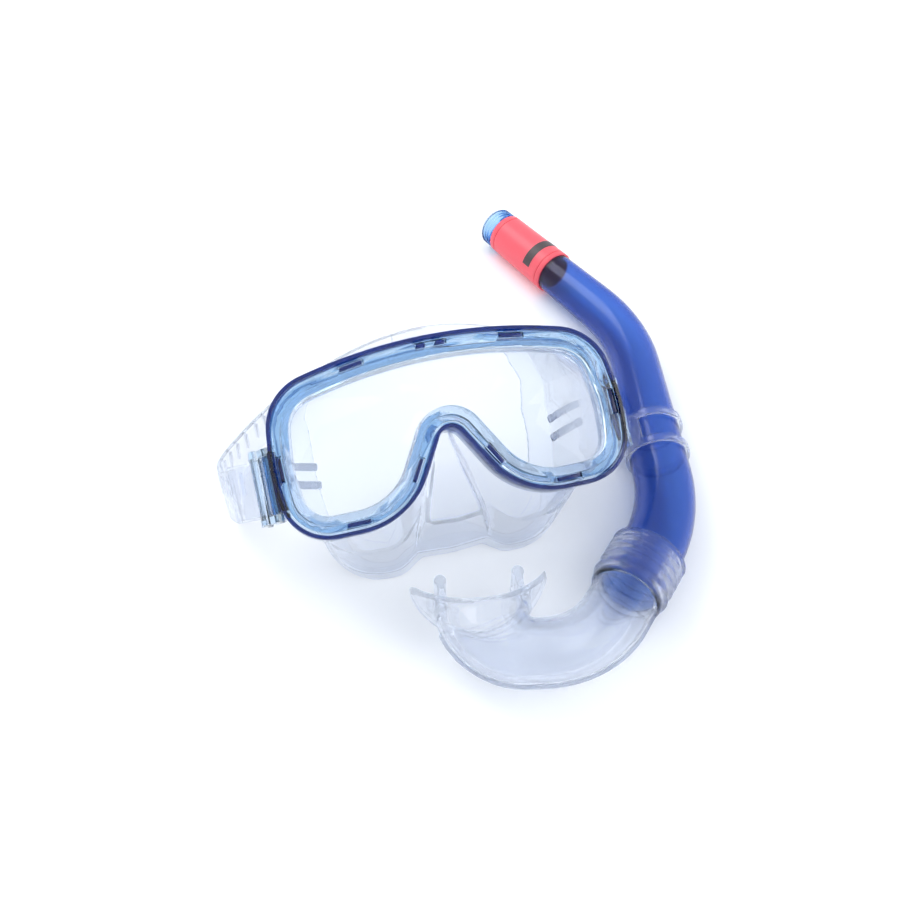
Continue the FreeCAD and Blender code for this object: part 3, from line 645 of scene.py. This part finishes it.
keeperSet = {"at": 176.0, "half": 10.0, "ringWide": 4.5, "gap": 0.4, "wall": 1.2, "beadRound": 0.75,
             "beadSunk": 0.55, "beadIn": 0.8, "voxel": 0.55, "rounds": 6}


def torusRound(name, along, radius, thick, points=72):
    rows = []
    for i in range(10):
        turn = 2 * math.pi * i / 10
        rows.append(ringAt(along + math.cos(turn) * thick, radius + math.sin(turn) * thick, points))
    return wrapGrid(name, rows, closedAlong=True)


def makeKeeper():
    keeper = cadCopy("keeper_moulding", "snorkel_keeper")
    radius = tubeRadius(keeperSet["at"] + keeperSet["half"]) + keeperSet["gap"] + keeperSet["wall"]
    radius -= keeperSet["beadSunk"]
    beads = []
    inset = keeperSet["beadIn"]
    for sign in (-1, 1):
        for along in (keeperSet["half"] - inset, keeperSet["half"] - keeperSet["ringWide"] + inset):
            beads.append(torusRound("bead", keeperSet["at"] + sign * along, radius, keeperSet["beadRound"]))
    joinInto(keeper, beads)
    asOneMoulding(keeper, keeperSet["voxel"], keeperSet["rounds"])
    settle(keeper, "keeper", "clear_soft", materials["softClearPvc"], "snorkel_keeper")


makeKeeper()
print("keeper made")

# mouthpiece

mouthSet = {"collarRound": 14.8, "collarLong": 21.5, "ribs": (1.2, 5.2, 9.2, 13.2), "lip": 18.6,
            "ribRound": 1.15, "ribProud": 0.1, "elbowRound": 13.4, "mouthHalfWide": 19.0, "seamRound": 0.8,
            "seamProud": 0.25, "voxel": 0.55, "rounds": 2}


def elbowHalfWide(along):
    last = runLength(lineRuns[-2])
    share = min(1.0, max(0.0, (along - (mouthAt - last)) / last))
    return mouthSet["elbowRound"] + (mouthSet["mouthHalfWide"] - mouthSet["elbowRound"]) * share


def seamRows():
    rows = []
    for along in stations(tubeEnd - 1, mouthAt - 3, 3.0):
        place, ahead, side = linePoint(along)
        center = place + side * (elbowHalfWide(along) + mouthSet["seamProud"])
        thick = mouthSet["seamRound"]
        rows.append([snorkelMatrix @ ((center + side * (math.cos(turn) * thick)
                                       + Vector((0, 0, math.sin(turn) * thick * 1.3))) * mm)
                     for turn in [math.pi * i / 4 for i in range(8)]])
    return rows


def makeMouthpiece():
    mouth = cadCopy("mouthpiece_moulding", "mouthpiece")
    start = tubeEnd - mouthSet["collarLong"]
    extras = [torusRound("rib", start + rib, mouthSet["collarRound"] + mouthSet["ribProud"],
                         mouthSet["ribRound"])
              for rib in (*mouthSet["ribs"], mouthSet["lip"])]
    seam = wrapGrid("seam", seamRows())
    editAll(closeEnds)
    joinInto(mouth, extras + [seam])
    asOneMoulding(mouth, mouthSet["voxel"], mouthSet["rounds"])
    settle(mouth, "mouthpiece", "clear_soft", materials["softClearPvc"], "mouthpiece")


makeMouthpiece()
print("mouthpiece made")

# strap: its route is the centre of a ribbon, with the direction of its width at each point

strapSet = {"wide": 22.0, "thick": 1.8, "roller": (75.0, -6.0, -29.0), "wrap": 3.75, "tail": 12.0,
            "stand": 11.2, "toothLong": 9.0, "toothWide": 1.1, "toothHigh": 0.7, "toothApart": 6.0,
            "toothFromEdge": 2.0, "routeStep": 1.5, "leftBend": (26, 8), "rightBend": (-13, -4),
            "leftTeeth": (24, 110), "rightTeeth": (60, 150)}


def rollerTurn(sign, start, turn, tail):
    x, y, z = strapSet["roller"]
    spots = []
    for step in range(7):
        angle = math.radians(start + turn * step / 6)
        across, up = math.cos(angle) * strapSet["wrap"], math.sin(angle) * strapSet["wrap"]
        spots.append(Vector((sign * x + across, y, z + up)))
    return [spots[0] + tail, spots[0] + tail * 0.5] + spots


def strapRoute():
    upFace = maskMatrix.to_3x3() @ Vector((0, 1, 0))
    upright = Vector((0, 0, 1))
    tail = strapSet["tail"]
    left = rollerTurn(-1, 90, -180, Vector((-tail, 0, 1.2)))
    right = rollerTurn(1, 180, -180, Vector((-0.8, 0, -tail)))
    right.reverse()
    route = [(onMask(*spot), upFace) for spot in left]
    route += [(onMask(*(left[-1] + Vector((-9, 0, -0.3)))), upFace),
              (onTable(-91, -45, 26), upFace * 0.6 + upright * 0.5),
              (onTable(-96.5, -33, 18), upFace * 0.3 + upright * 0.8),
              (onTable(-95.5, -18, 13), upright)]
    floorSpots = [(-87.5, -1), (-76, 15), (-58, 33), (-36, 49), (-10, 59), (17, 59), (40, 51), (57, 38)]
    route += [(onTable(x, y, strapSet["stand"]), upright) for x, y in floorSpots]
    route += [(onTable(67, 23.5, 13.6), upFace * 0.1 + upright * 0.9),
              (onTable(71.3, 8, 19.0), upFace * 0.3 + upright * 0.7),
              (onMask(*(right[0] + Vector((-0.4, 0, -8)))), upFace * 0.8 + upright * 0.2)]
    return route + [(onMask(*spot), upFace) for spot in right]


def smoothRoute(route, apart):
    # a smooth curve through every point of the route, cut into short even steps
    spots = [place for place, across in route]
    knots = [0.0]
    for a, b in zip(spots, spots[1:]):
        knots.append(knots[-1] + (b - a).length)
    slopes = []
    for i in range(len(spots)):
        before, after = max(i - 1, 0), min(i + 1, len(spots) - 1)
        if before == i or after == i:
            slopes.append((spots[after] - spots[before]) / (knots[after] - knots[before]))
            continue
        first = (spots[i] - spots[before]) / (knots[i] - knots[before])
        second = (spots[after] - spots[i]) / (knots[after] - knots[i])
        share = (knots[i] - knots[before]) / (knots[after] - knots[before])
        slopes.append(first * (1 - share) + second * share)
    steps = []
    for i in range(len(spots) - 1):
        span = knots[i + 1] - knots[i]
        count = max(1, round(span / apart))
        for step in range(count + (i == len(spots) - 2)):
            t = step / count
            place = (spots[i] * (2 * t ** 3 - 3 * t ** 2 + 1) + slopes[i] * span * (t ** 3 - 2 * t ** 2 + t)
                     + spots[i + 1] * (3 * t ** 2 - 2 * t ** 3) + slopes[i + 1] * span * (t ** 3 - t ** 2))
            steps.append((place, route[i][1] * (1 - t) + route[i + 1][1] * t))
    frames = []
    for i, (place, across) in enumerate(steps):
        ahead = (steps[min(i + 1, len(steps) - 1)][0] - steps[max(i - 1, 0)][0]).normalized()
        across = (across - ahead * across.dot(ahead)).normalized()
        frames.append((place, ahead, across, ahead.cross(across)))
    return frames


def strapRow(place, ahead, across, out):
    halfWide = strapSet["wide"] / 2 * mm
    halfThick = strapSet["thick"] / 2 * mm
    soft = 0.4 * mm
    corners = []
    for a, b in ((1, 1), (-1, 1), (-1, -1), (1, -1)):
        near = [(a * (halfWide - soft), b * halfThick), (a * halfWide, b * (halfThick - soft))]
        corners += near if a * b < 0 else near[::-1]
    return [place + across * u + out * v for u, v in corners]


def makeStrapHalf(name, frames, teeth):
    ribbon = wrapGrid(name, [strapRow(*item) for item in frames])
    editAll(closeEnds)
    bars = []
    travelled = 0.0
    following = strapSet["toothApart"] * mm
    for i in range(1, len(frames)):
        travelled += (frames[i][0] - frames[i - 1][0]).length
        if travelled < following or not teeth[0] * mm < travelled < teeth[1] * mm:
            continue
        following = travelled + strapSet["toothApart"] * mm
        place, ahead, across, out = frames[i]
        middle = (strapSet["wide"] / 2 - strapSet["toothFromEdge"] - strapSet["toothLong"] / 2) * mm
        for side in (-1, 1):
            spot = place + across * middle + out * (side * strapSet["thick"] / 2 * mm)
            size = (strapSet["toothWide"], strapSet["toothLong"], strapSet["toothHigh"])
            bars.append(roundedBar("tooth", size, axesMatrix(spot, ahead, across, out), 0.2))
    if bars:
        joinInto(ribbon, bars)
    smoothByAngle(ribbon, 40)
    ribbon.data.materials.clear()
    ribbon.data.materials.append(materials["softClearPvc"])
    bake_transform(ribbon)
    return ribbon


def makeStrap():
    frames = smoothRoute(strapRoute(), strapSet["routeStep"] * mm)
    middle = len(frames) // 2
    leftFrames = frames[:middle + 1]
    rightFrames = frames[middle:]
    left = makeStrapHalf("strap_left_half", leftFrames, strapSet["leftTeeth"])
    right = makeStrapHalf("strap_right_half", rightFrames,
                          strapSet["rightTeeth"])
    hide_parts("strap")
    return left, right


makeStrap()
print("strap made")

# floor, light and camera

studioSet = {"floorSize": 4.0, "cameraElevation": 52.0, "cameraDistance": 441 * mm, "lens": 38.0,
             "skyStrength": 1.05, "keyPower": 4.0, "fillPower": 1.6}


def addSoftbox(name, place, size, power, target):
    bpy.ops.object.light_add(type="AREA", location=place)
    light = bpy.context.object
    light.name = name
    light.data.shape = "RECTANGLE"
    light.data.size, light.data.size_y = size
    light.data.energy = power
    light.rotation_euler = (Vector(target) - Vector(place)).to_track_quat("-Z", "Y").to_euler()


def makeStudio():
    bpy.ops.object.select_all(action="DESELECT")
    bpy.ops.mesh.primitive_plane_add(size=studioSet["floorSize"], location=(0, 0, -0.3 * mm))
    floor = bpy.context.object
    floor.name = "floor"
    paper = newMaterial("whitePaperPaintedGlow")
    # painted light: a faint bluish glow on the paper lifts and tints the shadows that fall on it
    shader = addNode(paper, "ShaderNodeBsdfPrincipled",
                     inputs={"Base Color": linear("#FAFBFD"), "Roughness": 0.9, "Specular IOR Level": 0.0,
                             "Emission Color": linear("#DCE8FF"), "Emission Strength": 0.08}).outputs["BSDF"]
    addNode(paper, "ShaderNodeOutputMaterial", links={"Surface": shader})
    floor.data.materials.append(paper)
    world = bpy.data.worlds.new("paleRoom")
    world.use_nodes = True
    sky = world.node_tree.nodes["Background"]
    sky.inputs["Color"].default_value = linear("#F6FAFF")
    sky.inputs["Strength"].default_value = studioSet["skyStrength"]
    bpy.context.scene.world = world
    addSoftbox("keyLight", (-0.5, 0.45, 0.9), (0.7, 0.5), studioSet["keyPower"], (0, 0, 0.03))
    addSoftbox("fillLight", (0.7, -0.3, 0.7), (0.6, 0.6), studioSet["fillPower"], (0, 0, 0.03))
    elevation = math.radians(studioSet["cameraElevation"])
    target = onTable(0, 0, 0)
    eye = target + Vector((0, -math.cos(elevation), math.sin(elevation))) * studioSet["cameraDistance"]
    bpy.ops.object.camera_add(location=eye, rotation=(target - eye).to_track_quat("-Z", "Y").to_euler())
    camera = bpy.context.object
    camera.data.lens = studioSet["lens"]
    camera.data.sensor_width = 36.0
    scene = bpy.context.scene
    scene.camera = camera
    scene.view_settings.view_transform = "Standard"
    scene.cycles.max_bounces = 32
    scene.cycles.transmission_bounces = 32
    scene.cycles.transparent_max_bounces = 24


makeStudio()
print("studio made")
